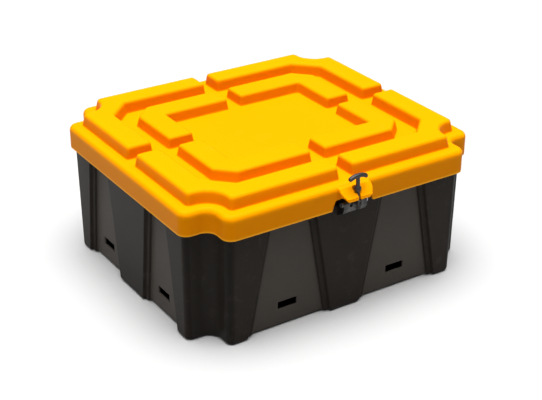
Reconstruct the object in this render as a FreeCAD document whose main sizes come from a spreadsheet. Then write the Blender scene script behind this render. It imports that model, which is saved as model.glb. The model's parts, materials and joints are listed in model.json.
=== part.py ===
import FreeCAD, Part

import math
import os

import Sketcher

# Weatherproof toolbox: a black moulded tub with stepped pillars, a yellow lid with two
# broken raised rings, a rubber T-latch in front, two hinges behind and a sliding tray.
# Frame: millimetres, +Z up, origin on the floor under the middle of the tub, latch at -Y.

doc = FreeCAD.newDocument("toolbox")
sheet = doc.addObject("Spreadsheet::Sheet", "Sizes")

# ---------------------------------------------------------------- driving dimensions
driving = {
    "length": 600.0,         # lid, left to right
    "width": 537.0,          # lid, front to back, without latch and hinges
    "height": 273.0,         # floor to the top of the outer ring
    "wall": 4.0,             # tub wall
    "shell": 3.5,            # lid wall
    "overhang_x": 10.0,      # skirt outside the pillar faces, at the ends
    "overhang_y": 12.5,      # the same, front and back
    "recess": 11.0,          # pillar face to panel
    "notch": 51.0,           # corner scallop of the tub, each way
    "draft": 2.0,            # how much the tub widens over its height, each side
    "ring_rise": 22.5,       # outer ring above the deck
    "skirt_drop": 44.0,      # deck to the lower edge of the skirt
    "gap_half": 15.0,        # half the break in the rings
    "ring_slope": 4.0,       # how far a ring wall leans over its height
    "slot_length": 38.0,     # strap slots in the panels
    "slot_height": 14.0,
    "slot_level": 41.0,
    "pin_radius": 3.0,       # hinge and latch pins
    "latch_reach": 14.0,     # latch pin in front of the pillar face
    "rail_drop": 53.6,       # skirt's lower edge to the top of the tray rails, below the hinges
    "tray_length": 240.0,    # along the slide
    "tray_depth": 62.0,
    "tray_wall": 2.5,
}
D = dict(driving)
D["half_x"] = D["length"] / 2
D["half_y"] = D["width"] / 2
D["deck"] = D["height"] - D["ring_rise"]
D["skirt_low"] = D["deck"] - D["skirt_drop"]
D["face_x"] = D["half_x"] - D["overhang_x"]
D["face_y"] = D["half_y"] - D["overhang_y"]
D["shoulder"] = D["skirt_low"] + 2.5
D["seat_gap"] = 0.4
D["rim"] = D["deck"] - D["shell"] - D["seat_gap"]
D["neck_x"] = D["face_x"] + D["draft"] - D["recess"]
D["neck_y"] = D["face_y"] + D["draft"] - D["recess"]
D["neck_notch"] = D["notch"] - D["recess"]
D["slot_x"] = 0.398 * D["face_x"]
D["slot_y"] = 0.410 * D["face_y"]
D["inside_y"] = D["neck_y"] - D["draft"] - D["wall"]
D["hinge_x"] = D["slot_x"]
D["hinge_y"] = D["half_y"] + 7.5
D["latch_y"] = -(D["face_y"] + D["latch_reach"])
D["latch_z"] = D["skirt_low"] + 8.0
D["rail_level"] = D["skirt_low"] - D["rail_drop"]
D["tray_half_y"] = D["inside_y"] - 3.0
D["tray_rest_x"] = -(D["face_x"] - D["notch"] - D["wall"] - D["tray_length"] / 2 - 8.0)
D["tray_top"] = D["rail_level"] + 3.0
D["slide"] = -2 * D["tray_rest_x"]

for row, (alias, value) in enumerate(D.items(), start=1):
    sheet.set("A%d" % row, alias)
    sheet.set("B%d" % row, "%.6f" % value)
    sheet.setAlias("B%d" % row, alias)
doc.recompute()

V = FreeCAD.Vector


# ---------------------------------------------------------------- drawing helpers
def new_body(label):
    body = doc.addObject("PartDesign::Body", label)
    body.Label = label
    return body


def origin_plane(body, role):
    for feature in body.Origin.OriginFeatures:
        if feature.Role == role:
            return feature
    raise ValueError(role)


def new_sketch(body, name, role="XY_Plane", offset=None):
    """Sketch on one of the body's planes; offset is an expression along its normal."""
    sketch = body.newObject("Sketcher::SketchObject", name)
    sketch.AttachmentSupport = [(origin_plane(body, role), "")]
    sketch.MapMode = "FlatFace"
    if offset is not None:
        sketch.setExpression("AttachmentOffset.Base.z", offset)
    return sketch


def draw_outline(sketch, corners):
    """Closed outline through (x, y, radius) corners, each rounded by its radius."""
    count = len(corners)
    cuts = []
    for i in range(count):
        x, y, radius = corners[i]
        here = V(x, y, 0)
        before = V(corners[i - 1][0], corners[i - 1][1], 0) - here
        after = V(corners[(i + 1) % count][0], corners[(i + 1) % count][1], 0) - here
        if radius <= 0:
            cuts.append((here, None, here))
            continue
        before.normalize()
        after.normalize()
        half = math.acos(max(-1, min(1, before * after))) / 2
        reach = radius / math.tan(half)
        middle = before + after
        middle.normalize()
        top = here + middle * (radius / math.sin(half) - radius)
        cuts.append((here + before * reach, top, here + after * reach))
    for i in range(count):
        first, top, last = cuts[i]
        if top is not None:
            sketch.addGeometry(Part.Arc(first, top, last), False)
        following = cuts[(i + 1) % count][0]
        if (following - last).Length > 1e-6:
            sketch.addGeometry(Part.LineSegment(last, following), False)


def draw_rectangle(sketch, x_low, x_high, y_low, y_high):
    """Rectangle whose four sides are dimensioned from the sketch origin by expressions."""
    corners = [V(0, 0, 0), V(1, 0, 0), V(1, 1, 0), V(0, 1, 0)]
    for i in range(4):
        sketch.addGeometry(Part.LineSegment(corners[i], corners[(i + 1) % 4]), False)
    for i in range(4):
        sketch.addConstraint(Sketcher.Constraint("Coincident", i, 2, (i + 1) % 4, 1))
    for i, kind in enumerate(("Horizontal", "Vertical", "Horizontal", "Vertical")):
        sketch.addConstraint(Sketcher.Constraint(kind, i))
    places = (("DistanceX", 0, 1, x_low), ("DistanceX", 1, 1, x_high),
              ("DistanceY", 0, 1, y_low), ("DistanceY", 2, 1, y_high))
    for kind, edge, point, expression in places:
        index = sketch.addConstraint(Sketcher.Constraint(kind, -1, 1, edge, point, 1.0))
        sketch.setExpression("Constraints[%d]" % index, expression)


def draw_circle(sketch, x, y, radius):
    sketch.addGeometry(Part.Circle(V(x, y, 0), V(0, 0, 1), radius), False)


def pad(body, sketch, length, both=False, backwards=False, name="Pad"):
    feature = body.newObject("PartDesign::Pad", name)
    feature.Profile = sketch
    feature.setExpression("Length", length)
    feature.Midplane = both
    feature.Reversed = backwards
    return feature


def pocket(body, sketch, length, both=False, backwards=False, name="Pocket"):
    doc.recompute()
    before = body.Shape.Volume
    feature = body.newObject("PartDesign::Pocket", name)
    feature.Profile = sketch
    feature.setExpression("Length", length)
    feature.Midplane = both
    feature.Reversed = backwards
    doc.recompute()
    if body.Shape.Volume >= before - 1e-3:
        raise RuntimeError("%s removes nothing from %s" % (feature.Name, body.Label))
    return feature


def loft(body, kind, sections, name):
    """Straight-sided loft through (expression for the level, corners) sections."""
    sketches = []
    for number, (level, corners) in enumerate(sections):
        sketch = new_sketch(body, "%s_%d" % (name, number), "XY_Plane", level)
        draw_outline(sketch, corners)
        sketches.append(sketch)
    feature = body.newObject("PartDesign::%sLoft" % kind, name)
    feature.Profile = sketches[0]
    feature.Sections = sketches[1:]
    feature.Ruled = True
    return feature


def primitive(kind, name, sizes, place, turn=None):
    """Part primitive with its sizes and its place bound to the sheet."""
    item = doc.addObject("Part::" + kind, name)
    for key, expression in sizes.items():
        item.setExpression(key, str(expression))
    if turn is not None:
        item.Placement = FreeCAD.Placement(V(0, 0, 0), FreeCAD.Rotation(*turn))
    for axis, expression in zip("xyz", place):
        item.setExpression("Placement.Base.%s" % axis, str(expression))
    return item


def join(label, items):
    fused = doc.addObject("Part::MultiFuse", label)
    fused.Shapes = items
    fused.Label = label
    return fused


def group(label, items):
    held = doc.addObject("Part::Compound", label)
    held.Links = items
    held.Label = label
    return held


def cut(label, base, tool):
    result = doc.addObject("Part::Cut", label)
    result.Base = base
    result.Tool = tool
    result.Label = label
    return result


ALONG_X = (V(0, 1, 0), 90)
ALONG_Y = (V(1, 0, 0), -90)


# ---------------------------------------------------------------- tub
# Every side has a pillar in the middle and one at each end, wide above and narrow below.
# A pillar falls to the panel in two steps with a narrow ledge between them.
LEDGE = 8.5
LEAN = 2.0
STEP = D["recess"] / 2
PILLARS = {                  # half width of the middle pillar, inner end of the end pillars
    "x": ((0.104, 0.233), (0.696, 0.560)),
    "y": ((0.168, 0.277), (0.664, 0.551)),
}


def side(half, depth, middle, end, notch, round_out, round_in):
    """One side, left to right, seen with the face below; ends with the scallop corner."""
    steps = ((0.0, 0.0), (LEAN, STEP), (LEAN + LEDGE, STEP), (2 * LEAN + LEDGE, 2 * STEP))
    points = [(-(half - notch), -depth, round_out)]
    points += [(-end + along, -depth + into, 0) for along, into in steps]
    points += [(-middle - along, -depth + into, 0) for along, into in reversed(steps)]
    points += [(middle + along, -depth + into, 0) for along, into in steps]
    points += [(end - along, -depth + into, 0) for along, into in reversed(steps)]
    points += [(half - notch, -depth, round_out), (half - notch, -depth + notch, round_in)]
    return points


def turned(points, quarter):
    angle = math.radians(90 * quarter)
    co, si = round(math.cos(angle)), round(math.sin(angle))
    return [(co * x - si * y, si * x + co * y, r) for x, y, r in points]


def tub_outline(level, inset):
    """Pillared outline of the tub at a height; inset moves the whole wall inwards."""
    share = level / D["shoulder"]
    half = {"x": D["face_x"] + D["draft"] * share - inset,
            "y": D["face_y"] + D["draft"] * share - inset}
    whole = {"x": D["face_x"], "y": D["face_y"]}
    corners = []
    for quarter, (axis, other) in enumerate((("x", "y"), ("y", "x"), ("x", "y"), ("y", "x"))):
        (mid_low, mid_high), (end_low, end_high) = PILLARS[axis]
        middle = whole[axis] * (mid_low + (mid_high - mid_low) * share) - inset
        end = whole[axis] * (end_low + (end_high - end_low) * share) + inset
        points = side(half[axis], half[other], middle, end, D["notch"],
                      12.0 - min(inset, 8.0), 25.0 + inset)
        corners += turned(points, quarter)
    return corners


def plain_outline(half_x, half_y, notch, round_out, round_in):
    """Rectangle with a rounded step cut out of each corner."""
    corners = []
    for quarter in range(4):
        along, depth = (half_x, half_y) if quarter % 2 == 0 else (half_y, half_x)
        points = [(-(along - notch), -depth, round_out), (along - notch, -depth, round_out),
                  (along - notch, -depth + notch, round_in)]
        corners += turned(points, quarter)
    return corners


tub = new_body("base_tub")
FOOT_EDGE = 5.0
loft(tub, "Additive", [
    ("0", tub_outline(0.0, FOOT_EDGE * 0.8)),
    ("%.4f" % FOOT_EDGE, tub_outline(FOOT_EDGE, 0.0)),
    ("Sizes.shoulder", tub_outline(D["shoulder"], 0.0)),
], "Pillars")
neck = new_sketch(tub, "NeckOutline", "XY_Plane", "Sizes.shoulder - Sizes.wall")
draw_outline(neck, plain_outline(D["neck_x"], D["neck_y"], D["neck_notch"], 6.0, 25.0))
pad(tub, neck, "Sizes.rim - Sizes.shoulder + Sizes.wall", name="Neck")
doc.recompute()
loft(tub, "Subtractive", [
    ("Sizes.wall", tub_outline(D["wall"], D["wall"])),
    ("Sizes.shoulder - Sizes.wall", tub_outline(D["shoulder"] - D["wall"], D["wall"])),
], "PillarHollows")
mouth = new_sketch(tub, "MouthOutline", "XY_Plane", "Sizes.rim")
draw_outline(mouth, plain_outline(D["neck_x"] - D["wall"], D["neck_y"] - D["wall"],
                                  D["neck_notch"], 4.0, 29.0))
pocket(tub, mouth, "Sizes.rim - Sizes.shoulder + 2 * Sizes.wall", name="Mouth")

# Strap slots go straight through the panels, two in every side.
for axis, plane, reach in (("x", "XZ_Plane", "face_y"), ("y", "YZ_Plane", "face_x")):
    for sign, word in ((-1, "Low"), (1, "High")):
        slots = new_sketch(tub, "Slots%s%s" % (axis, word), plane)
        centre = "%d * Sizes.slot_%s" % (sign, axis)
        draw_rectangle(slots, centre + " - Sizes.slot_length / 2",
                       centre + " + Sizes.slot_length / 2",
                       "Sizes.slot_level - Sizes.slot_height / 2",
                       "Sizes.slot_level + Sizes.slot_height / 2")
        pocket(tub, slots, "2 * Sizes.%s + 40" % reach, both=True,
               name="StrapSlots%s%s" % (axis, word))

# Bolt holes for the latch bracket in front and for the hinge brackets behind.
BOLT = 2.4
BOLT_FIT = 0.1
LATCH_BOLT_X = 17.0
LATCH_BOLT_Z = D["shoulder"] - 10.0
HINGE_BOLT_X = 24.5
HINGE_BOLT_Z = D["shoulder"] - 32.0
LEAF_BOLT_Z = D["skirt_low"] + 22.0


def bolt_holes(body, name, places, offset, length, backwards=False):
    sketch = new_sketch(body, name + "Sketch", "XZ_Plane", offset)
    for x, z in places:
        draw_circle(sketch, x, z, BOLT + BOLT_FIT)
    pocket(body, sketch, length, backwards=backwards, name=name)


hinge_places = [(side_sign * D["hinge_x"] + along, HINGE_BOLT_Z)
                for side_sign in (-1, 1) for along in (-HINGE_BOLT_X, HINGE_BOLT_X)]
leaf_places = [(x, LEAF_BOLT_Z) for x, _ in hinge_places]
latch_places = [(-LATCH_BOLT_X, LATCH_BOLT_Z), (LATCH_BOLT_X, LATCH_BOLT_Z)]
bolt_holes(tub, "LatchHoles", latch_places, "Sizes.face_y + 10", "25")
bolt_holes(tub, "HingeHoles", hinge_places, "-Sizes.neck_y - 10", "25", backwards=True)

# ---------------------------------------------------------------- lid
# One thin moulding: a skirt with a rounded shoulder, a flat deck and two raised rings,
# each broken in the middle of every side. The rings are hollow underneath.
LID_NOTCH = 52.5
LID_ROUND = 18.0
LID_HOLLOW = 20.0
SHOULDER_ROUND = 10.0
INNER_ROUND = 2.5
lid = new_body("lid")
skirt = new_sketch(lid, "SkirtOutline", "XY_Plane", "Sizes.skirt_low")
draw_outline(skirt, plain_outline(D["half_x"], D["half_y"], LID_NOTCH, LID_ROUND, LID_HOLLOW))
pad(lid, skirt, "Sizes.skirt_drop", name="Skirt")
doc.recompute()


def edges_at(body, level):
    """Names of the edges that lie wholly at one height."""
    names = []
    for number, edge in enumerate(body.Shape.Edges, start=1):
        box = edge.BoundBox
        if abs(box.ZMin - level) < 1e-4 and abs(box.ZMax - level) < 1e-4:
            names.append("Edge%d" % number)
    return names


def round_edges(body, names, radius, name):
    base = body.Tip
    feature = body.newObject("PartDesign::Fillet", name)
    feature.Base = (base, names)
    feature.Radius = radius
    doc.recompute()
    return feature


round_edges(lid, edges_at(lid, D["deck"]), SHOULDER_ROUND, "ShoulderRound")
inside = new_sketch(lid, "InsideOutline", "XY_Plane", "Sizes.skirt_low")
draw_outline(inside, plain_outline(D["half_x"] - D["shell"], D["half_y"] - D["shell"],
                                   LID_NOTCH, LID_ROUND - D["shell"], LID_HOLLOW + D["shell"]))
pocket(lid, inside, "Sizes.skirt_drop - Sizes.shell", backwards=True, name="SkirtHollow")
round_edges(lid, edges_at(lid, D["deck"] - D["shell"]), INNER_ROUND, "InnerRound")

OUTER_RING = {"outer": (0.9167, 0.906), "inner": (0.767, 0.745), "notch": 51.0,
              "chamfer": 42.0, "drop": 0.0}
INNER_RING = {"outer": (0.643, 0.605), "inner": (0.490, 0.425), "notch": 0.0,
              "chamfer": 3.0, "drop": 2.0}


RING_CORNER = 8.0
INNER_CORNER = 5.0


def ring_quarter(ring, sign_x, sign_y, spread, inset):
    """Outline of a quarter of a ring; spread widens it at the foot, inset is for the hollow."""
    outer_x = D["half_x"] * ring["outer"][0] + spread - inset
    outer_y = D["half_y"] * ring["outer"][1] + spread - inset
    inner_x = D["half_x"] * ring["inner"][0] - spread + inset
    inner_y = D["half_y"] * ring["inner"][1] - spread + inset
    gap = D["gap_half"] - spread / 2 + inset
    notch = ring["notch"]
    if notch:
        corner = RING_CORNER - inset / 2
        outer_corner = [(outer_x - notch, outer_y, corner),
                        (outer_x - notch, outer_y - notch, 0.78 * notch + inset),
                        (outer_x, outer_y - notch, corner)]
    else:
        outer_corner = [(outer_x - 32.0, outer_y, 9.0), (outer_x, outer_y - 32.0, 9.0)]
    cut_off = ring["chamfer"]
    points = [(gap, outer_y, 0)] + outer_corner + [(outer_x, gap, 0), (inner_x, gap, 0)]
    points += [(inner_x, inner_y - cut_off, INNER_CORNER)]
    points += [(inner_x - cut_off, inner_y, INNER_CORNER)]
    points += [(gap, inner_y, 0)]
    return [(sign_x * x, sign_y * y, r) for x, y, r in points]


def ring_parts(kind, ring, word, low, high, inset):
    for sign_x in (-1, 1):
        for sign_y in (-1, 1):
            foot = ring_quarter(ring, sign_x, sign_y, D["ring_slope"], inset)
            crest = ring_quarter(ring, sign_x, sign_y, 0.0, inset)
            name = "%s%s%s" % (word, "LR"[sign_x > 0], "FB"[sign_y > 0])
            loft(lid, kind, [(low, foot), (high, crest)], name)
            doc.recompute()


for ring, word in ((OUTER_RING, "OuterRing"), (INNER_RING, "InnerRing")):
    crest_level = "Sizes.height - %g" % ring["drop"]
    ring_parts("Additive", ring, word, "Sizes.deck - 0.5", crest_level, 0.0)
    ring_parts("Subtractive", ring, word + "Hollow", "Sizes.deck - Sizes.shell - 0.5",
               crest_level + " - Sizes.shell", D["shell"])

# Cut-out in the front of the skirt for the latch bracket, and the lug above it that the
# rubber latch hooks over: a block with a sloping crown, a slot and a seat for the bulb.
LUG_LOW = D["skirt_low"] + 19.5
LUG_HIGH = D["deck"]
LUG_OUT = 20.0
LUG_SLOT = 2.3
SEAT_HALF = 7.2
SEAT_LEVEL = LUG_LOW + 11.0
opening = new_sketch(lid, "CutOutOutline", "XZ_Plane", "Sizes.half_y - 10")
draw_outline(opening, [(-43.0, D["skirt_low"] - 1, 0), (43.0, D["skirt_low"] - 1, 0),
                       (36.0, LUG_LOW, 4.0), (-36.0, LUG_LOW, 4.0)])
pocket(lid, opening, "20", backwards=True, name="CutOut")
lug = new_sketch(lid, "LugOutline", "XZ_Plane", "Sizes.half_y - Sizes.shell")
draw_outline(lug, [(-22.0, LUG_LOW, 3.0), (22.0, LUG_LOW, 3.0), (32.0, LUG_LOW + 14.0, 4.0),
                   (32.0, LUG_HIGH - 3.0, 3.0), (-32.0, LUG_HIGH - 3.0, 3.0),
                   (-32.0, LUG_LOW + 14.0, 4.0)])
pad(lid, lug, "Sizes.shell + %g" % LUG_OUT, name="Lug")
crown = new_sketch(lid, "CrownOutline", "YZ_Plane")
lug_front = -(D["half_y"] + LUG_OUT)
draw_outline(crown, [(lug_front - 1, LUG_LOW + 6.0, 0), (lug_front + 1, LUG_LOW + 6.0, 0),
                     (-(D["half_y"] + 1.5), LUG_HIGH - 1, 0),
                     (-(D["half_y"] + 1.5), LUG_HIGH + 10, 0), (lug_front - 1, LUG_HIGH + 10, 0)])
pocket(lid, crown, "80", both=True, name="Crown")
seat = new_sketch(lid, "SeatOutline", "XY_Plane", "%g" % (LUG_HIGH + 5))
draw_outline(seat, [(-SEAT_HALF, lug_front - 1, 0), (SEAT_HALF, lug_front - 1, 0),
                    (SEAT_HALF, -(D["half_y"] + 3.0), 4.0), (-SEAT_HALF, -(D["half_y"] + 3.0), 4.0)])
pocket(lid, seat, "%g" % (LUG_HIGH + 5 - SEAT_LEVEL), name="Seat")
slot = new_sketch(lid, "LugSlotOutline", "XY_Plane", "%g" % (LUG_HIGH + 5))
draw_outline(slot, [(-LUG_SLOT, lug_front - 1, 0), (LUG_SLOT, lug_front - 1, 0),
                    (LUG_SLOT, -(D["half_y"] + 4.0), 0.6 * LUG_SLOT),
                    (-LUG_SLOT, -(D["half_y"] + 4.0), 0.6 * LUG_SLOT)])
pocket(lid, slot, "%g" % (LUG_HIGH + 7 - LUG_LOW), name="LugSlot")
bolt_holes(lid, "LeafHoles", leaf_places, "-Sizes.half_y - 5", "15", backwards=True)

# ---------------------------------------------------------------- hinges
# Each hinge is a folded bracket with two eyes on the tub and a leaf with one knuckle on
# the lid, round a headed steel pin.
EYE = 6.5
CHEEK_IN = 13.5
CHEEK = 6.0
KNUCKLE = 13.1
PLATE = 3.0
PLATE_HALF = 30.0
PIN_FIT = 0.06


def box(name, x, y, z):
    """Box between two expressions on each axis."""
    sizes = {"Length": "(%s) - (%s)" % (x[1], x[0]), "Width": "(%s) - (%s)" % (y[1], y[0]),
             "Height": "(%s) - (%s)" % (z[1], z[0])}
    return primitive("Box", name, sizes, (x[0], y[0], z[0]))


def rod_x(name, radius, start, length, y, z):
    return primitive("Cylinder", name, {"Radius": radius, "Height": length}, (start, y, z),
                     ALONG_X)


def rod_y(name, radius, start, length, x, z):
    return primitive("Cylinder", name, {"Radius": radius, "Height": length}, (x, start, z),
                     ALONG_Y)


def eye_sketch(body, name, corners, offset):
    sketch = new_sketch(body, name, "YZ_Plane", offset)
    draw_outline(sketch, corners)
    return sketch


panel_back = D["neck_y"]
hy, hz = D["hinge_y"], D["skirt_low"] - 6.0
for sign, word in ((-1, "left"), (1, "right")):
    middle = "%d * Sizes.hinge_x" % sign
    bracket = new_body("hinge_bracket_" + word)
    base = new_sketch(bracket, "Plate" + word, "XZ_Plane", "-Sizes.neck_y")
    draw_rectangle(base, "%s - %g" % (middle, PLATE_HALF), "%s + %g" % (middle, PLATE_HALF),
                   "Sizes.shoulder - 42", "Sizes.shoulder - 6")
    pad(bracket, base, "%g" % PLATE, backwards=True, name="Plate")
    arm = [(panel_back + 1, D["shoulder"] - 38.0, 0), (hy + EYE, hz - EYE, 6.4),
           (hy + EYE, hz + EYE, 6.4), (hy - EYE, hz + EYE, 6.4), (hy - EYE, hz - 1.5, 0.5),
           (panel_back + 1, hz - 5.0, 0)]
    for number, inner in enumerate((-CHEEK_IN - CHEEK, CHEEK_IN)):
        cheek = eye_sketch(bracket, "Cheek%s%d" % (word, number), arm,
                           "%s + %g" % (middle, inner))
        pad(bracket, cheek, "%g" % CHEEK, name="Cheek")
    bore = new_sketch(bracket, "Bore" + word, "YZ_Plane", middle)
    draw_circle(bore, hy, hz, D["pin_radius"])
    pocket(bracket, bore, "60", both=True, name="Bore")
    bolt_holes(bracket, "BracketHoles" + word,
               [(x, z) for x, z in hinge_places if x * sign > 0],
               "-Sizes.neck_y - 10", "25", backwards=True)

    leaf = new_body("hinge_leaf_" + word)
    base = new_sketch(leaf, "LeafPlate" + word, "XZ_Plane", "-Sizes.half_y")
    draw_rectangle(base, "%s - %g" % (middle, PLATE_HALF), "%s + %g" % (middle, PLATE_HALF),
                   "Sizes.skirt_low + 6", "Sizes.skirt_low + 33")
    pad(leaf, base, "%g" % PLATE, backwards=True, name="LeafPlate")
    knuckle = [(D["half_y"], D["skirt_low"] + 12.0, 0), (hy - EYE, hz - EYE, 6.4),
               (hy + EYE, hz - EYE, 6.4), (hy + EYE, hz + EYE, 6.4),
               (D["half_y"] + PLATE, D["skirt_low"] + 12.0, 0)]
    eye = eye_sketch(leaf, "Knuckle" + word, knuckle, "%s - %g" % (middle, KNUCKLE))
    pad(leaf, eye, "%g" % (2 * KNUCKLE), name="Knuckle")
    bore = new_sketch(leaf, "LeafBore" + word, "YZ_Plane", middle)
    draw_circle(bore, hy, hz, D["pin_radius"] + PIN_FIT)
    pocket(leaf, bore, "60", both=True, name="LeafBore")
    bolt_holes(leaf, "LeafHoles" + word, [(x, z) for x, z in leaf_places if x * sign > 0],
               "-Sizes.half_y - 10", "25", backwards=True)

pins = []
for sign, word in ((-1, "Left"), (1, "Right")):
    start = "%d * Sizes.hinge_x - %g" % (sign, CHEEK_IN + CHEEK + 1.0)
    shank = rod_x("HingePinShank" + word, "Sizes.pin_radius", start,
                  "%g" % (2 * (CHEEK_IN + CHEEK) + 3.0), hy, hz)
    head = rod_x("HingePinHead" + word, "1.6 * Sizes.pin_radius",
                 "%d * Sizes.hinge_x + %g" % (sign, CHEEK_IN + CHEEK), 2.0, hy, hz)
    pins.append(join("HingePin" + word, [shank, head]))
group("hinge_pins", pins)


def bolts(label, places, face, outward, grip):
    """Pan-head bolts through walls; face is where the head sits, grip the length inside."""
    made = []
    for number, (x, z) in enumerate(places):
        name = "%s%d" % (label, number)
        low = face - grip if outward > 0 else face
        shank = rod_y(name + "Shank", BOLT, low, grip, x, z)
        head_low = face if outward > 0 else face - 2.4
        head = rod_y(name + "Head", 1.6 * BOLT, head_low, 2.4, x, z)
        made.append(join(name, [shank, head]))
    return group(label, made)


bolts("hinge_bracket_bolts", hinge_places, D["neck_y"] + PLATE, 1, 12.0)
bolts("hinge_leaf_bolts", leaf_places, D["half_y"] + PLATE, 1, 10.5)


def plate_with_holes(label, places, x, y, z):
    """Flat backing plate with a bore for each bolt."""
    plate = box(label + "Blank", x, y, z)
    bores = [rod_y("%sBore%d" % (label, n), BOLT + BOLT_FIT, "(%s) - 5" % y[0], 20, px, pz)
             for n, (px, pz) in enumerate(places)]
    return cut(label, plate, join(label + "Bores", bores))


for label, places, y, z in (
        ("hinge_backing_plates", hinge_places,
         ("Sizes.inside_y - 2", "Sizes.inside_y + 1"),
         ("Sizes.shoulder - 42", "Sizes.shoulder - 20")),
        ("leaf_backing_plates", leaf_places,
         ("Sizes.half_y - Sizes.shell - 2.7", "Sizes.half_y - Sizes.shell"),
         ("Sizes.skirt_low + 14", "Sizes.skirt_low + 33"))):
    plates = []
    for sign, word in ((-1, "Left"), (1, "Right")):
        middle = "%d * Sizes.hinge_x" % sign
        x = ("%s - %g" % (middle, PLATE_HALF), "%s + %g" % (middle, PLATE_HALF))
        plates.append(plate_with_holes(label + word, [p for p in places if p[0] * sign > 0],
                                       x, y, z))
    group(label, plates)

# ---------------------------------------------------------------- latch
# A moulded bracket with two ears on the middle pillar holds a steel pin; the rubber latch
# turns on the pin and its bulb is pulled up through the lug of the lid.
ly, lz = D["latch_y"], D["latch_z"]
pillar_front = -(D["face_y"] + D["draft"])
EAR_OUT = 24.0
EAR_IN = 12.3
holder = new_body("latch_bracket")
profile = new_sketch(holder, "EarProfile", "YZ_Plane")
draw_outline(profile, [(pillar_front, lz - 24.0, 0), (ly - 2.0, lz - 16.0, 6.0),
                       (ly - 6.0, lz - 8.0, 5.0), (ly - 6.0, lz + 6.0, 5.0),
                       (pillar_front, lz + 8.0, 0)])
pad(holder, profile, "%g" % (2 * EAR_OUT), both=True, name="Ears")
throat = new_sketch(holder, "Throat", "XY_Plane", "Sizes.latch_z + 20")
draw_outline(throat, [(-EAR_IN, ly - 20.0, 0), (EAR_IN, ly - 20.0, 0),
                      (EAR_IN, pillar_front - 3.0, 0.5), (-EAR_IN, pillar_front - 3.0, 0.5)])
pocket(holder, throat, "60", name="ThroatCut")
bore = new_sketch(holder, "LatchBore", "YZ_Plane")
draw_circle(bore, ly, lz, D["pin_radius"])
pocket(holder, bore, "80", both=True, name="LatchBoreCut")
sockets = new_sketch(holder, "BoltSockets", "XZ_Plane", "%g" % -pillar_front)
for x, z in latch_places:
    draw_circle(sockets, x, z, BOLT + BOLT_FIT)
pocket(holder, sockets, "9", backwards=True, name="BoltSocketCut")

latch_shank = rod_x("LatchPinShank", "Sizes.pin_radius", -EAR_OUT - 1.0, 2 * EAR_OUT + 5.0, ly, lz)
latch_head = rod_x("LatchPinHead", "1.5 * Sizes.pin_radius", -EAR_OUT - 2.0, 2.0, ly, lz)
join("latch_pin", [latch_shank, latch_head])
clip_disc = rod_x("ClipDisc", "1.9 * Sizes.pin_radius", EAR_OUT, 1.2, ly, lz)
clip_bore = rod_x("ClipBore", "Sizes.pin_radius", EAR_OUT - 1, 4, ly, lz)
cut("latch_pin_clip", clip_disc, clip_bore)
plate_y = pillar_front + D["wall"] + 0.5
bolts("latch_bracket_bolts", latch_places, plate_y + 3.0, 1, 14.0)
plate_with_holes("latch_backing_plate", latch_places, ("-22", "22"),
                 ("%g" % plate_y, "%g" % (plate_y + 3.0)),
                 ("%g" % (LATCH_BOLT_Z - 9.0), "Sizes.shoulder - Sizes.wall - 1"))

strap_y = ly - 10.0
STRAP_DEEP = 4.0
STRAP_THIN = LUG_SLOT - 0.4
STEM_THIN = 3.0
BARREL_HALF = 7.5
GRIP_HALF = 19.5
bulb_low = SEAT_LEVEL + 0.5
grip_low = D["height"] - 12.0
rubber = new_body("rubber_latch")
barrel = new_sketch(rubber, "Barrel", "YZ_Plane")
draw_circle(barrel, ly, lz, 7.4)
pad(rubber, barrel, "%g" % (2 * BARREL_HALF), both=True, name="BarrelPad")
front = new_sketch(rubber, "StrapFront", "XZ_Plane", "%g" % (-strap_y - STRAP_DEEP))
half_front = [(STRAP_THIN, lz - 3.0, 0), (STRAP_THIN, bulb_low + 1.0, 0),
              (STEM_THIN, bulb_low + 3.0, 0), (STEM_THIN, grip_low + 4.0, 3.0),
              (GRIP_HALF - 2.5, grip_low - 2.0, 3.0), (GRIP_HALF, grip_low + 3.0, 2.0),
              (GRIP_HALF / 2, grip_low + 11.0, 12.0)]
mirrored = [(-x, z, r) for x, z, r in reversed(half_front)]
draw_outline(front, half_front + mirrored)
pad(rubber, front, "%g" % (2 * STRAP_DEEP), name="StrapPad")
bulb = new_sketch(rubber, "BulbProfile", "XZ_Plane", "%g" % -strap_y)
draw_outline(bulb, [(0.0, bulb_low, 0), (4.0, bulb_low, 2.0), (6.2, bulb_low + 6.0, 4.0),
                    (3.5, bulb_low + 13.0, 2.0), (0.0, bulb_low + 13.0, 0)])
turn = rubber.newObject("PartDesign::Revolution", "Bulb")
turn.Profile = bulb
turn.ReferenceAxis = (bulb, ["V_Axis"])
turn.Angle = 360.0
doc.recompute()
eyehole = new_sketch(rubber, "LatchEye", "YZ_Plane")
draw_circle(eyehole, ly, lz, D["pin_radius"] + PIN_FIT)
pocket(rubber, eyehole, "40", both=True, name="LatchEyeCut")

# ---------------------------------------------------------------- tray
# A shallow bin hangs by its end flanges on two angle rails and slides from end to end.
# A wire handle with a grip folds flat inside it, over two low dividers.
RAIL_HALF = 220.0
RAIL_LEG = 20.0
RAIL_OUT = D["inside_y"] + 1.0
RAIL_IN = RAIL_OUT - 14.0
rail_level = D["rail_level"]
for sign, word in ((-1, "front"), (1, "rear")):
    rail = new_body("tray_rail_" + word)
    angle = new_sketch(rail, "Angle" + word, "YZ_Plane")
    outline = [(RAIL_OUT, rail_level - RAIL_LEG, 0), (RAIL_OUT, rail_level, 0),
               (RAIL_IN, rail_level, 0), (RAIL_IN, rail_level - 2.0, 0),
               (RAIL_OUT - 2.0, rail_level - 2.0, 0), (RAIL_OUT - 2.0, rail_level - RAIL_LEG, 0)]
    draw_outline(angle, [(sign * y, z, r) for y, z, r in outline])
    pad(rail, angle, "%g" % (2 * RAIL_HALF), both=True, name="Angle")

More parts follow.
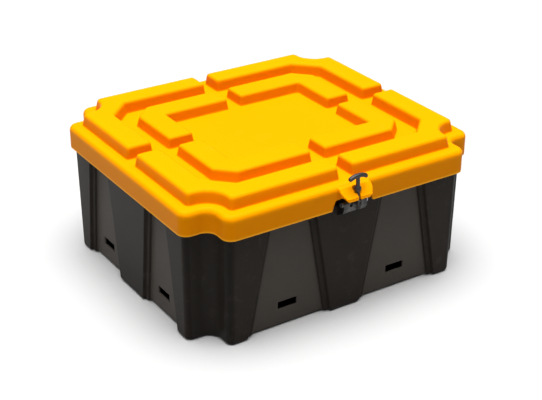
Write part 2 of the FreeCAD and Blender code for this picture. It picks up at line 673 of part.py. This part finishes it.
rivets = []
for sign, word in ((-1, "Front"), (1, "Rear")):
    for number, x in enumerate((-150.0, -100.0, 100.0, 150.0)):
        low = RAIL_OUT - 3.6 if sign > 0 else -RAIL_OUT + 2.0
        rivets.append(rod_y("RailRivet%s%d" % (word, number), 3.5, low, 1.6, x,
                            rail_level - 12.0))
group("tray_rail_rivets", rivets)

TRAY_X = D["tray_rest_x"]
half_tray = D["tray_length"] / 2
bin_y = RAIL_IN - 2.5
flange_low = rail_level + 0.4
floor_level = D["tray_top"] + 0.4 - D["tray_depth"]
tray = new_body("tray_bin")


def tray_outline(half_along, half_across, radius):
    return [(TRAY_X - half_along, -half_across, radius), (TRAY_X + half_along, -half_across, radius),
            (TRAY_X + half_along, half_across, radius), (TRAY_X - half_along, half_across, radius)]


block = new_sketch(tray, "BinOutline", "XY_Plane", "%g" % floor_level)
draw_outline(block, tray_outline(half_tray - 4.0, bin_y, 10.0))
pad(tray, block, "Sizes.tray_depth", name="BinBlock")
flange = new_sketch(tray, "FlangeOutline", "XY_Plane", "%g" % flange_low)
draw_outline(flange, tray_outline(half_tray, D["tray_half_y"], 12.0))
pad(tray, flange, "3", name="Flange")
hollow = new_sketch(tray, "BinHollow", "XY_Plane", "%g" % (flange_low + 3.0))
draw_outline(hollow, tray_outline(half_tray - 4.0 - D["tray_wall"], bin_y - D["tray_wall"], 7.5))
pocket(tray, hollow, "Sizes.tray_depth - Sizes.tray_wall", name="BinHollowCut")

HANDLE_Z = flange_low - 9.0
ARM_Y = bin_y - D["tray_wall"] - 3.5
ARM_LENGTH = 82.0
ROD = 2.4
ELBOW = ROD + 0.4
holes = new_sketch(tray, "HandleHoles", "XZ_Plane")
draw_circle(holes, TRAY_X, HANDLE_Z, 2.05)
pocket(tray, holes, "600", both=True, name="HandleHolesCut")
dividers = []
for number, share in enumerate((-0.33, 0.33)):
    y = share * bin_y
    dividers.append(box("Divider%d" % number,
                        ("%g" % (TRAY_X - half_tray + 7.0), "%g" % (TRAY_X + half_tray - 7.0)),
                        ("%g" % (y - 1.0), "%g" % (y + 1.0)),
                        ("%g" % (floor_level + D["tray_wall"] + 0.3), "%g" % (HANDLE_Z - 10.0))))
group("tray_dividers", dividers)

wire = []
for sign, word in ((-1, "Front"), (1, "Rear")):
    wire.append(primitive("Cylinder", "Arm" + word, {"Radius": ROD, "Height": ARM_LENGTH},
                          (TRAY_X, sign * ARM_Y, HANDLE_Z), ALONG_X))
    wire.append(primitive("Sphere", "Elbow" + word, {"Radius": ELBOW},
                          (TRAY_X + ARM_LENGTH, sign * ARM_Y, HANDLE_Z)))
    wire.append(rod_y("Eye" + word, 5.5, sign * ARM_Y - 2.5, 5.0, TRAY_X, HANDLE_Z))
wire.append(rod_y("CrossBar", ROD, -ARM_Y, 2 * ARM_Y, TRAY_X + ARM_LENGTH, HANDLE_Z))
wire_holes = rod_y("EyeBore", 2.05, -ARM_Y - 10, 2 * ARM_Y + 20, TRAY_X, HANDLE_Z)
cut("tray_handle", join("Wire", wire), wire_holes)
grip_tube = rod_y("GripTube", 7.0, -60, 120, TRAY_X + ARM_LENGTH, HANDLE_Z)
grip_bore = rod_y("GripBore", ROD, -70, 140, TRAY_X + ARM_LENGTH, HANDLE_Z)
cut("tray_grip", grip_tube, grip_bore)
pivots = []
for sign, word in ((-1, "Front"), (1, "Rear")):
    inner = ARM_Y - 2.8
    outer = bin_y
    low = inner if sign > 0 else -outer - 1.4
    shank = rod_y("PivotShank" + word, 2.0, low, outer - inner + 1.4, TRAY_X, HANDLE_Z)
    cap = rod_y("PivotCap" + word, 4.0, outer if sign > 0 else -outer - 1.4, 1.4,
                TRAY_X, HANDLE_Z)
    tip = rod_y("PivotTip" + word, 4.0, (inner - 1.2) if sign > 0 else -inner, 1.2,
                TRAY_X, HANDLE_Z)
    pivots.append(join("Pivot" + word, [shank, cap, tip]))
group("tray_pivots", pivots)

# ---------------------------------------------------------------- write the pieces
doc.recompute()
NODES = ("base_tub", "lid", "hinge_bracket_left", "hinge_bracket_right", "hinge_leaf_left",
         "hinge_leaf_right", "hinge_pins", "hinge_bracket_bolts", "hinge_leaf_bolts",
         "hinge_backing_plates", "leaf_backing_plates", "latch_bracket", "latch_pin",
         "latch_pin_clip", "latch_bracket_bolts", "latch_backing_plate", "rubber_latch",
         "tray_rail_front", "tray_rail_rear", "tray_rail_rivets", "tray_bin",
         "tray_dividers", "tray_handle", "tray_grip", "tray_pivots")
for item in doc.Objects:
    if "Invalid" in item.State or "Error" in item.State:
        raise RuntimeError("%s failed: %s" % (item.Label, item.State))
os.makedirs("parts", exist_ok=True)
for label in NODES:
    item = doc.getObjectsByLabel(label)[0]
    shape = item.Shape
    if shape.isNull() or not shape.isValid():
        raise RuntimeError("%s has no valid shape" % label)
    shape.exportStep("parts/%s.step" % label)
    print("%-22s %d solids %10.1f mm3" % (label, len(shape.Solids), shape.Volume))
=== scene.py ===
import json
import math

import bmesh
import bpy
from mathutils import Euler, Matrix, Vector

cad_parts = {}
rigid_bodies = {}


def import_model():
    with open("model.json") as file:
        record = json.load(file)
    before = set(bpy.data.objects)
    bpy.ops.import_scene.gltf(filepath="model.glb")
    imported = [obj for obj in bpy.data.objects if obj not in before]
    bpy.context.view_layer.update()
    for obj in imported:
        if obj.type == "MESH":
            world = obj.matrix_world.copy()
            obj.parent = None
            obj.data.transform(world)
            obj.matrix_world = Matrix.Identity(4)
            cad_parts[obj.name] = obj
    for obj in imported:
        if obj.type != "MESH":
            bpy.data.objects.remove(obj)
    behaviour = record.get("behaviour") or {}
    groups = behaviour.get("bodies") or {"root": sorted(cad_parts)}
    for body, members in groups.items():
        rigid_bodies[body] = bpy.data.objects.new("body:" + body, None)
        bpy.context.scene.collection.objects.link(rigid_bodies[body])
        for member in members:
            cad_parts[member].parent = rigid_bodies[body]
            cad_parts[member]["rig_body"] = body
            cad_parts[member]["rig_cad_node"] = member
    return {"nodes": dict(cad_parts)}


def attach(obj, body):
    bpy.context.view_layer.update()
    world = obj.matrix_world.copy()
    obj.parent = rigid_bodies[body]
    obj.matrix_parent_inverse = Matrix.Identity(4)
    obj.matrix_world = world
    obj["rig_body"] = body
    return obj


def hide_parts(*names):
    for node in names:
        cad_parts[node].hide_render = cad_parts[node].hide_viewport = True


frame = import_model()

bpy.context.view_layer.update()


# The tub: one open moulding of black polypropylene, with tapering pillars round its walls, a
# rounded neck that the lid drops over, and strap slots low down. Its mould leaves every edge
# slightly rounded and a fine even grain on the outside.

def deselect():
    bpy.ops.object.select_all(action="DESELECT")


def make_active(piece):
    deselect()
    piece.select_set(True)
    bpy.context.view_layer.objects.active = piece


def moulding_from(node, name):
    """A copy of a fixed node for further work, with its loose triangles joined into whole faces."""
    make_active(frame["nodes"][node])
    bpy.ops.object.duplicate()
    piece = bpy.context.active_object
    bpy.ops.object.parent_clear(type="CLEAR_KEEP_TRANSFORM")
    piece.name = name
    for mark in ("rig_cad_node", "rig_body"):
        if mark in piece:
            del piece[mark]
    piece.data.materials.clear()
    bpy.ops.object.mode_set(mode="EDIT")
    bpy.ops.mesh.select_all(action="SELECT")
    bpy.ops.mesh.remove_doubles(threshold=0.00001)
    bpy.ops.mesh.dissolve_limited(angle_limit=math.radians(0.5))
    bpy.ops.object.mode_set(mode="OBJECT")
    bpy.ops.mesh.customdata_custom_splitnormals_clear()
    return piece


def round_edges(piece, radius, segments=3, sharper_than=30.0, where=None):
    """Rounds the sharp edges, as a mould does: all of them, or those the test accepts."""
    make_active(piece)
    bpy.ops.object.mode_set(mode="EDIT")
    bpy.ops.mesh.select_mode(type="EDGE")
    bpy.ops.mesh.select_all(action="DESELECT")
    shape = bmesh.from_edit_mesh(piece.data)
    for edge in shape.edges:
        sharp = edge.is_manifold and edge.calc_face_angle() > math.radians(sharper_than)
        if sharp and (where is None or where(edge.verts[0].co, edge.verts[1].co)):
            edge.select_set(True)
    bmesh.update_edit_mesh(piece.data)
    bpy.ops.mesh.bevel(offset=radius, segments=segments, affect="EDGES", clamp_overlap=False,
                       loop_slide=False)
    bpy.ops.object.mode_set(mode="OBJECT")


def smooth_faces(piece, angle=40.0):
    """Shades curves smooth and keeps the flats flat."""
    make_active(piece)
    bpy.ops.object.shade_smooth_by_angle(angle=math.radians(angle))
    weights = piece.modifiers.new("flat_faces_lead", "WEIGHTED_NORMAL")
    weights.keep_sharp = True
    weights.weight = 100
    bpy.ops.object.modifier_apply(modifier=weights.name)


class Channel:
    """One output of a shader node, so that shader maths reads as ordinary arithmetic."""

    def __init__(self, finish, socket):
        self.finish = finish
        self.socket = socket

    def maths(self, operation, *values):
        settings = {"operation": operation}
        return self.finish.add("ShaderNodeMath", settings, dict(enumerate(values)))

    def __add__(self, other):
        return self.maths("ADD", self, other)

    def __mul__(self, other):
        return self.maths("MULTIPLY", self, other)

    def __sub__(self, other):
        return self.maths("SUBTRACT", self, other)

    def __rsub__(self, other):
        return self.maths("SUBTRACT", other, self)

    __radd__ = __add__
    __rmul__ = __mul__


class Finish:
    """A surface finish: its shader, and the one call that adds any other node to it."""

    def __init__(self, name):
        self.material = bpy.data.materials.new(name)
        self.material.use_nodes = True
        self.shader = self.material.node_tree.nodes["Principled BSDF"]
        self.place = self.add("ShaderNodeTexCoord", output="Object")

    def fill(self, node, values):
        for name, value in values.items():
            if isinstance(value, Channel):
                self.material.node_tree.links.new(value.socket, node.inputs[name])
            else:
                node.inputs[name].default_value = value

    def add(self, kind, settings=None, values=None, output=0):
        node = self.material.node_tree.nodes.new(kind)
        for name, value in (settings or {}).items():
            if name == "stops":
                ramp = node.color_ramp.elements
                while len(ramp) < len(value):
                    ramp.new(0.5)
                for stop, (position, level) in zip(ramp, value):
                    stop.position = position
                    stop.color = (level, level, level, 1.0)
            else:
                setattr(node, name, value)
        self.fill(node, values or {})
        return Channel(self, node.outputs[output])

    def surface(self, **values):
        named = {name.replace("_", " "): value for name, value in values.items()}
        self.fill(self.shader, named)

    def noise(self, scale, detail=2.0, roughness=0.5, place=None):
        values = {"Vector": place or self.place, "Scale": scale, "Detail": detail,
                  "Roughness": roughness}
        return self.add("ShaderNodeTexNoise", None, values)

    def axes(self):
        """Place on the piece, as three values in metres."""
        return [self.add("ShaderNodeSeparateXYZ", None, {0: self.place}, axis)
                for axis in ("X", "Y", "Z")]

    def ramp(self, value, low, high):
        return self.add("ShaderNodeValToRGB", {"stops": ((low, 0.0), (high, 1.0))},
                        {"Fac": value})

    def mix(self, amount, first, second):
        """A colour between two colours."""
        return self.add("ShaderNodeMix", {"data_type": "RGBA"},
                        {0: amount, 6: first, 7: second}, output=2)

    def bump(self, height, depth, strength=1.0, normal=None):
        values = {"Height": height, "Distance": depth, "Strength": strength}
        if normal is not None:
            values["Normal"] = normal
        return self.add("ShaderNodeBump", None, values)


PILLAR_FACE_X = 0.290
PILLAR_FACE_Y = 0.256
SIDE_LEAN = 0.002 / 0.2505
# Where the painted shade at the tub's corners begins, across and along the tub.
CORNER_SHADE_X = (0.2250, 0.2320)
CORNER_SHADE_Y = (0.1960, 0.2020)
# How far behind the pillar faces the painted shade on the pillars gives way to the lighter painted
# light on the panels.
PANEL_ZOOM = 50.0
PANEL_STEP = (0.40, 0.50)


def black_moulding():
    finish = Finish("black_moulded_polypropylene")
    grain = finish.noise(1400.0, 2.0, 0.6)
    flow = finish.noise(9.0, 3.0, 0.55)
    scuffs = finish.ramp(finish.noise(46.0, 6.0, 0.68), 0.56, 0.72)
    along, across, up = finish.axes()
    lean = up * SIDE_LEAN
    off_middle_x = along.maths("ABSOLUTE", along)
    off_middle_y = across.maths("ABSOLUTE", across)
    depth_x = lean + PILLAR_FACE_X - off_middle_x
    depth_y = lean + PILLAR_FACE_Y - off_middle_y
    depth = depth_x.maths("MINIMUM", depth_x, depth_y)
    # Painted light and shade: panels sunk about a centimetre or more behind the pillar faces get a
    # lighter colour, and the pillars a darker one.
    panel = finish.ramp(depth * PANEL_ZOOM, *PANEL_STEP)
    pillar_painted_shade = finish.mix(flow, (0.0145, 0.0112, 0.0085, 1.0), (0.0195, 0.0155, 0.0120, 1.0))
    panel_painted_light = finish.mix(flow, (0.050, 0.043, 0.036, 1.0), (0.064, 0.055, 0.047, 1.0))
    # Painted shade: the tub's four corners, beyond about 0.23 m across and 0.20 m along from the
    # middle, are coloured near-black.
    painted_corner_shade = finish.ramp(off_middle_x, *CORNER_SHADE_X) * finish.ramp(off_middle_y, *CORNER_SHADE_Y)
    shade = finish.mix(panel, pillar_painted_shade, panel_painted_light)
    shade = finish.mix(painted_corner_shade * 0.85, shade, (0.0070, 0.0052, 0.0036, 1.0))
    # Real scuffs, lighter, over the painted light and shade.
    worn_and_painted_shade = finish.mix(scuffs * 0.22, shade, (0.065, 0.059, 0.053, 1.0))
    waves = finish.bump(flow, 0.0012, 0.5)
    finish.surface(
        Base_Color=worn_and_painted_shade,
        Roughness=0.40 + flow * 0.10 + scuffs * 0.08,
        Specular_IOR_Level=0.08,
        Normal=finish.bump(grain, 0.00008, 0.8, waves),
    )
    return finish.material


black_plastic = black_moulding()

TUB_EDGE = 0.0016
SHOULDER = 0.2090
SHOULDER_BAND = 0.0030


def off_shoulder(first, second):
    """All but the narrow shoulder under the neck, which stays crisp."""
    return max(abs(first.z - SHOULDER), abs(second.z - SHOULDER)) > SHOULDER_BAND


tub = moulding_from("base_tub", "tub")
round_edges(tub, TUB_EDGE, where=off_shoulder)
smooth_faces(tub)
tub.data.materials.append(black_plastic)
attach(tub, "tub")
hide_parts("base_tub")


# The tray rails: two folded strips of zinc-plated steel, riveted along the inside of the long
# walls to carry the tray. Plated steel is bright, with faint rolling marks along the strip.

def plated_steel():
    finish = Finish("zinc_plated_steel")
    rolled = finish.add("ShaderNodeMapping", None,
                        {"Vector": finish.place, "Scale": (0.12, 1.0, 1.0)})
    lines = finish.noise(900.0, 3.0, 0.6, rolled)
    spangle = finish.noise(140.0, 2.0, 0.5)
    dull = finish.ramp(finish.noise(35.0, 4.0, 0.6), 0.45, 0.75)
    bright = finish.mix(spangle, (0.36, 0.37, 0.39, 1.0), (0.50, 0.50, 0.51, 1.0))
    finish.surface(
        Base_Color=finish.mix(dull * 0.6, bright, (0.26, 0.255, 0.25, 1.0)),
        Metallic=1.0,
        Roughness=0.24 + lines * 0.14 + dull * 0.20,
        Normal=finish.bump(lines, 0.00003, 0.6),
    )
    return finish.material


steel = plated_steel()

RAIL_EDGE = 0.0005

for side in ("front", "rear"):
    rail = moulding_from("tray_rail_" + side, "rail_" + side)
    round_edges(rail, RAIL_EDGE, 2)
    smooth_faces(rail)
    rail.data.materials.append(steel)
    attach(rail, "tub")
    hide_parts("tray_rail_" + side)


def plate_node(node, material):
    """Gives a fixed node, whose shape is already right, its real finish."""
    cad_node = frame["nodes"][node]
    cad_node.data.materials.clear()
    cad_node.data.materials.append(material)


plate_node("tray_rail_rivets", steel)


# The sliding tray: a shallow bin of dark grey plastic that hangs on the rails by its flanges
# and slides from end to end of the box, with two thin dividers standing in it.

def tray_moulding():
    finish = Finish("grey_tray_plastic")
    grain = finish.noise(1100.0, 2.0, 0.6)
    flow = finish.noise(14.0, 3.0, 0.5)
    rubs = finish.ramp(finish.noise(60.0, 6.0, 0.7), 0.55, 0.72)
    shade = finish.mix(flow, (0.070, 0.071, 0.076, 1.0), (0.090, 0.091, 0.096, 1.0))
    finish.surface(
        Base_Color=finish.mix(rubs * 0.3, shade, (0.15, 0.15, 0.155, 1.0)),
        Roughness=0.44 + rubs * 0.10,
        Normal=finish.bump(grain, 0.00007, 0.8),
    )
    return finish.material


tray_plastic = tray_moulding()

for node, name, radius in (("tray_bin", "tray", 0.0009), ("tray_dividers", "dividers", 0.0006)):
    part = moulding_from(node, name)
    round_edges(part, radius)
    smooth_faces(part)
    part.data.materials.append(tray_plastic)
    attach(part, "tray")
    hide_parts(node)


# The tray handle: a bent steel rod that turns on two pins through the ends of the tray, with a
# rubber grip pushed onto its middle.

# Height band where the painted shade on the rubber gives way to its lighter colour.
RUBBER_SHADE_TOP = (0.2200, 0.2300)


def moulded_rubber():
    finish = Finish("matt_black_rubber")
    grain = finish.noise(1800.0, 3.0, 0.65)
    dust = finish.ramp(finish.noise(70.0, 5.0, 0.6), 0.50, 0.75)
    height = finish.axes()[2]
    # Painted shade: rubber below about 0.22 m, which takes in the latch barrel under the lug, is
    # coloured near-black, and lighter above.
    shade = finish.mix(finish.ramp(height, *RUBBER_SHADE_TOP), (0.0045, 0.0035, 0.0030, 1.0),
                       (0.019, 0.0165, 0.0160, 1.0))
    finish.surface(
        Base_Color=finish.mix(dust * 0.4, shade, (0.045, 0.043, 0.041, 1.0)),
        Roughness=0.46 + dust * 0.16,
        Normal=finish.bump(grain, 0.00006, 0.7),
    )
    return finish.material


rubber = moulded_rubber()

plate_node("tray_handle", steel)
plate_node("tray_pivots", steel)
plate_node("tray_grip", rubber)


# The hinges: pressed steel brackets on the tub and leaves on the lid, joined by headed pins,
# each bolted through its wall to a small backing plate inside.

PLATE_EDGE = 0.0004

for side in ("left", "right"):
    for half, body in (("bracket", "tub"), ("leaf", "lid")):
        node = f"hinge_{half}_{side}"
        plate = moulding_from(node, f"{half}_{side}")
        round_edges(plate, PLATE_EDGE, 2)
        smooth_faces(plate)
        plate.data.materials.append(steel)
        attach(plate, body)
        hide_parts(node)

for node in ("hinge_pins", "hinge_bracket_bolts", "hinge_leaf_bolts", "hinge_backing_plates",
             "leaf_backing_plates"):
    plate_node(node, steel)


# The lid: a deep yellow moulding whose broken, stepped rings stiffen its top, so every corner
# of it is soft. The skin is satin with a slight unevenness from the mould.

DECK = 0.2505
# Heights where the painted shade on the ring walls fades in and out.
RING_WALL_FOOT = (0.2508, 0.2522)
RING_WALL_TOP = (0.2650, 0.2700)
# Heights and front edge of the painted shade on the skirt.
SKIRT_TOP = (0.2375, 0.2475)
HALF_METRE = 0.5
SKIRT_FRONT = (0.2284, 0.2292)
# Height of the painted highlight along the lower lip.
LOWER_LIP_HIGHLIGHT = (0.2074, 0.2086)


def yellow_moulding():
    finish = Finish("yellow_moulded_plastic")
    grain = finish.noise(900.0, 2.0, 0.55)
    flow = finish.noise(6.0, 3.0, 0.5)
    rubs = finish.ramp(finish.noise(38.0, 7.0, 0.7), 0.58, 0.74)
    depth, height = finish.axes()[1:]
    shade = finish.mix(flow, (0.90, 0.315, 0.0, 1.0), (0.94, 0.335, 0.0, 1.0))
    # Painted shade: the ring walls between the deck and the ring tops are coloured darker and more
    # orange, inside the lid at those heights too.
    above_foot = finish.ramp(height, *RING_WALL_FOOT)
    ring_wall_painted_shade = above_foot * (1 - finish.ramp(height, *RING_WALL_TOP))
    # Painted shade: the skirt below about 0.24 m, all round except the front of the lug, is coloured
    # darker and more orange.
    behind_lug = finish.ramp(depth + HALF_METRE, *SKIRT_FRONT)
    skirt_painted_shade = (1 - finish.ramp(height, *SKIRT_TOP)) * behind_lug
    shade = finish.mix(ring_wall_painted_shade, shade, (0.68, 0.190, 0.0, 1.0))
    shade = finish.mix(skirt_painted_shade, shade, (0.62, 0.195, 0.0, 1.0))
    # Painted highlight: a paler line along the lower lip, below about 0.208 m.
    shade = finish.mix(finish.ramp(height, *LOWER_LIP_HIGHLIGHT), (0.80, 0.36, 0.02, 1.0), shade)
    waves = finish.bump(flow, 0.0015, 0.5)
    finish.surface(
        Base_Color=finish.mix(rubs * 0.10, shade, (0.80, 0.36, 0.03, 1.0)),
        Specular_IOR_Level=0.03,
        Specular_Tint=(1.0, 0.62, 0.12, 1.0),
        Roughness=0.38 + flow * 0.06 + rubs * 0.08,
        Normal=finish.bump(grain, 0.00005, 0.6, waves),
    )
    return finish.material


yellow_plastic = yellow_moulding()

RING_TOPS = (0.2710, 0.2730)
RING_EDGE = 0.0050
LIP_EDGE = 0.0007
LIP_TOP = 0.2075
LUG_EDGE = 0.0010
LUG_HALF = 0.0330
LUG_BACK = -0.2700
LUG_FOOT = 0.2255


def level_with(point, height):
    return abs(point.z - height) < 0.0003


def on_ring(first, second):
    """The upper and upright edges of the raised rings, on the outside of the lid."""
    tops = [any(level_with(point, top) for top in RING_TOPS) for point in (first, second)]
    decks = [level_with(point, DECK) for point in (first, second)]
    return all(top or deck for top, deck in zip(tops, decks)) and any(tops)


def on_lower_lip(first, second):
    return max(first.z, second.z) < LIP_TOP


def on_lug(first, second):
    """The block that carries the latch slot, in the middle of the front."""
    return all(abs(point.x) < LUG_HALF and point.y < LUG_BACK and point.z > LUG_FOOT
               for point in (first, second))


lid = moulding_from("lid", "lid_shell")
round_edges(lid, RING_EDGE, 5, 30.0, on_ring)
round_edges(lid, LIP_EDGE, 2, 50.0, on_lower_lip)
round_edges(lid, LUG_EDGE, 3, 40.0, on_lug)
smooth_faces(lid, 50.0)
lid.data.materials.append(yellow_plastic)
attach(lid, "lid")
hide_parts("lid")


# The latch: a dark nylon bracket bolted below the lid's lug, with a steel pin and its clip,
# and a moulded rubber T that swings on the pin and snaps up into the slot in the lug.

# Where the painted shade on the bracket's ears begins, each side of the middle.
EAR_SHADE_INSIDE = (0.0150, 0.0160)
BRACKET_EDGE = 0.0005


def grey_nylon():
    finish = Finish("dark_grey_nylon")
    grain = finish.noise(1600.0, 2.0, 0.6)
    flow = finish.noise(60.0, 3.0, 0.5)
    across = finish.axes()[0]
    # Painted shade: the bracket's ears, more than about 15 mm either side of the middle, are
    # coloured near-black.
    ears_painted_shade = finish.ramp(across.maths("ABSOLUTE", across), *EAR_SHADE_INSIDE)
    faces = finish.mix(flow, (0.085, 0.078, 0.070, 1.0), (0.115, 0.107, 0.098, 1.0))
    finish.surface(
        Base_Color=finish.mix(ears_painted_shade, faces, (0.006, 0.005, 0.004, 1.0)),
        Roughness=0.34 + flow * 0.10,
        Normal=finish.bump(grain, 0.00005, 0.6),
    )
    return finish.material


bracket = moulding_from("latch_bracket", "latch_mount")
round_edges(bracket, BRACKET_EDGE, 2)
smooth_faces(bracket)
bracket.data.materials.append(grey_nylon())
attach(bracket, "tub")
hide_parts("latch_bracket")

for node in ("latch_pin", "latch_pin_clip", "latch_bracket_bolts", "latch_backing_plate"):
    plate_node(node, steel)

PIN_PLACE = Vector((0.0, -0.2700, 0.2145))
BARREL_RADIUS = 0.0074
BARREL_LENGTH = 0.0150
PIN_HOLE_RADIUS = 0.0033
STRAP_Y = -0.2800
STRAP_MIDDLE = 0.2265
STRAP_SIZE = (0.0038, 0.0080, 0.0260)
BULB_MIDDLE = 0.2440
BULB_HALF_SIZE = (0.0064, 0.0062, 0.0066)
STEM_TOP = 0.2675
STEM_RADIUS = 0.0035
STEM_HALF_DEEP = 0.0038
GRIP_TOP = 0.2720
GRIP_HALF_DEEP = 0.0044
GRIP_HALF_THICK = 0.0039
GRIP_CURVE = 0.034
GRIP_SWEEP = math.radians(28.0)
FINEST_DETAIL = 0.00045


def whole_shape(piece):
    make_active(piece)
    bpy.ops.object.transform_apply(location=True, rotation=True, scale=True)
    return piece


def rubber_rod(low, high, radius, deep):
    """An upright round or oval rod of the latch, in line with its strap."""
    bpy.ops.mesh.primitive_cylinder_add(vertices=32, radius=radius, depth=high - low,
                                        location=(0.0, STRAP_Y, (low + high) / 2))
    bpy.context.active_object.scale = (1.0, deep / radius, 1.0)
    return whole_shape(bpy.context.active_object)


def rubber_ball(place, size):
    bpy.ops.mesh.primitive_uv_sphere_add(segments=32, ring_count=20, radius=1.0, location=place)
    bpy.context.active_object.scale = size
    return whole_shape(bpy.context.active_object)


def grip_bar():
    """An oval bar swept round an arc, from one end of the grip to the other."""
    bpy.ops.mesh.primitive_circle_add(
        vertices=28, radius=1.0, fill_type="NGON", rotation=(0.0, math.pi / 2, 0.0),
        location=(0.0, STRAP_Y, GRIP_TOP - GRIP_HALF_THICK))
    bar = bpy.context.active_object
    bar.scale = (GRIP_HALF_THICK, GRIP_HALF_DEEP, 1.0)
    whole_shape(bar)
    centre = (0.0, STRAP_Y, GRIP_TOP - GRIP_HALF_THICK - GRIP_CURVE)
    bpy.ops.object.mode_set(mode="EDIT")
    bpy.ops.mesh.select_all(action="SELECT")
    bpy.ops.transform.rotate(value=GRIP_SWEEP, orient_axis="Y", center_override=centre)
    bpy.ops.mesh.spin(steps=20, angle=-2 * GRIP_SWEEP, center=centre, axis=(0.0, 1.0, 0.0))
    bpy.ops.mesh.select_all(action="SELECT")
    bpy.ops.mesh.remove_doubles(threshold=0.00001)
    bpy.ops.mesh.normals_make_consistent(inside=False)
    bpy.ops.object.mode_set(mode="OBJECT")
    return bar


def latch_barrel():
    bpy.ops.mesh.primitive_cylinder_add(vertices=64, radius=BARREL_RADIUS, depth=BARREL_LENGTH,
                                        rotation=(0.0, math.pi / 2, 0.0), location=PIN_PLACE)
    barrel = whole_shape(bpy.context.active_object)
    bpy.ops.mesh.primitive_cylinder_add(vertices=48, radius=PIN_HOLE_RADIUS, depth=2 * BARREL_LENGTH,
                                        rotation=(0.0, math.pi / 2, 0.0), location=PIN_PLACE)
    drill = whole_shape(bpy.context.active_object)
    hole = barrel.modifiers.new("pin_hole", "BOOLEAN")
    hole.object = drill
    make_active(barrel)
    bpy.ops.object.modifier_apply(modifier=hole.name)
    bpy.data.objects.remove(drill)
    return barrel


def strap_block():
    bpy.ops.mesh.primitive_cube_add(size=1.0, location=(0.0, STRAP_Y, STRAP_MIDDLE))
    bpy.context.active_object.scale = STRAP_SIZE
    return whole_shape(bpy.context.active_object)


parts = [latch_barrel(), strap_block(), grip_bar(),
         rubber_rod(BULB_MIDDLE, STEM_TOP, STEM_RADIUS, STEM_HALF_DEEP),
         rubber_ball((0.0, STRAP_Y, BULB_MIDDLE), BULB_HALF_SIZE)]
for side in (-1, 1):
    end = (side * GRIP_CURVE * math.sin(GRIP_SWEEP), STRAP_Y,
           GRIP_TOP - GRIP_HALF_THICK - GRIP_CURVE * (1 - math.cos(GRIP_SWEEP)))
    parts.append(rubber_ball(end, (0.0033, GRIP_HALF_DEEP, GRIP_HALF_THICK)))
make_active(parts[0])
for part in parts[1:]:
    part.select_set(True)
bpy.ops.object.join()
tee = bpy.context.active_object
tee.name = "latch_tee"
merged = tee.modifiers.new("one_moulding", "REMESH")
merged.mode = "VOXEL"
merged.voxel_size = FINEST_DETAIL
bpy.ops.object.modifier_apply(modifier=merged.name)
softened = tee.modifiers.new("soft_joins", "SMOOTH")
softened.factor = 0.5
softened.iterations = 8
bpy.ops.object.modifier_apply(modifier=softened.name)
bpy.ops.object.shade_smooth()
tee.data.materials.append(rubber)
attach(tee, "latch")
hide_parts("rubber_latch")


# The room: a pale seamless floor under a white ceiling that is brightest straight overhead,
# with one soft panel out to the left.

deselect()
bpy.ops.mesh.primitive_plane_add(size=14.0, location=(0.0, 0.0, 0.0))
floor = bpy.context.active_object
floor.name = "floor"


def pale_floor():
    finish = Finish("pale_floor")
    cloud = finish.noise(1.5, 2.0, 0.5)
    finish.surface(
        Base_Color=finish.mix(cloud, (0.51, 0.51, 0.51, 1.0), (0.53, 0.53, 0.53, 1.0)),
        Roughness=0.75,
    )
    return finish.material


floor.data.materials.append(pale_floor())


def soft_panel(name, place, aim, width, height, power):
    lamp = bpy.data.lights.new(name, "AREA")
    lamp.shape = "RECTANGLE"
    lamp.size = width
    lamp.size_y = height
    lamp.energy = power
    panel = bpy.data.objects.new(name, lamp)
    bpy.context.scene.collection.objects.link(panel)
    panel.location = place
    panel.rotation_euler = (Vector(aim) - Vector(place)).to_track_quat("-Z", "Y").to_euler()


soft_panel("left", (-2.6, -0.6, 1.7), (0.0, 0.0, 0.15), 1.6, 1.6, 5.0)

room = bpy.data.worlds.new("white_room")
room.use_nodes = True
air = room.node_tree.nodes["Background"]
air.inputs["Color"].default_value = (1.0, 1.0, 1.0, 1.0)
direction = room.node_tree.nodes.new("ShaderNodeTexCoord")
split = room.node_tree.nodes.new("ShaderNodeSeparateXYZ")
room.node_tree.links.new(direction.outputs["Generated"], split.inputs[0])
upward = room.node_tree.nodes.new("ShaderNodeMath")
upward.operation = "MAXIMUM"
upward.inputs[1].default_value = 0.0
room.node_tree.links.new(split.outputs["Z"], upward.inputs[0])
spread = room.node_tree.nodes.new("ShaderNodeMath")
spread.operation = "POWER"
spread.inputs[1].default_value = 12.0
room.node_tree.links.new(upward.outputs[0], spread.inputs[0])
glow = room.node_tree.nodes.new("ShaderNodeMath")
glow.operation = "MULTIPLY_ADD"
glow.inputs[1].default_value = 14.0
glow.inputs[2].default_value = 0.05
room.node_tree.links.new(spread.outputs[0], glow.inputs[0])
room.node_tree.links.new(glow.outputs[0], air.inputs["Strength"])
bpy.context.scene.world = room
bpy.context.scene.view_settings.view_transform = "Standard"

lens = bpy.data.cameras.new("camera")
lens.sensor_width = 36.0
lens.lens = 84.31
camera = bpy.data.objects.new("camera", lens)
bpy.context.scene.collection.objects.link(camera)
camera.location = (-1.1531, -1.7868, 1.1889)
yaw, pitch, roll = (math.radians(angle) for angle in (33.0595, 27.0753, 0.1895))
turn = (Euler((0.0, 0.0, -yaw)).to_matrix() @ Euler((math.pi / 2 - pitch, 0.0, 0.0)).to_matrix()
        @ Euler((0.0, 0.0, roll)).to_matrix())
camera.rotation_euler = turn.to_euler()
bpy.context.scene.camera = camera

bpy.context.view_layer.update()
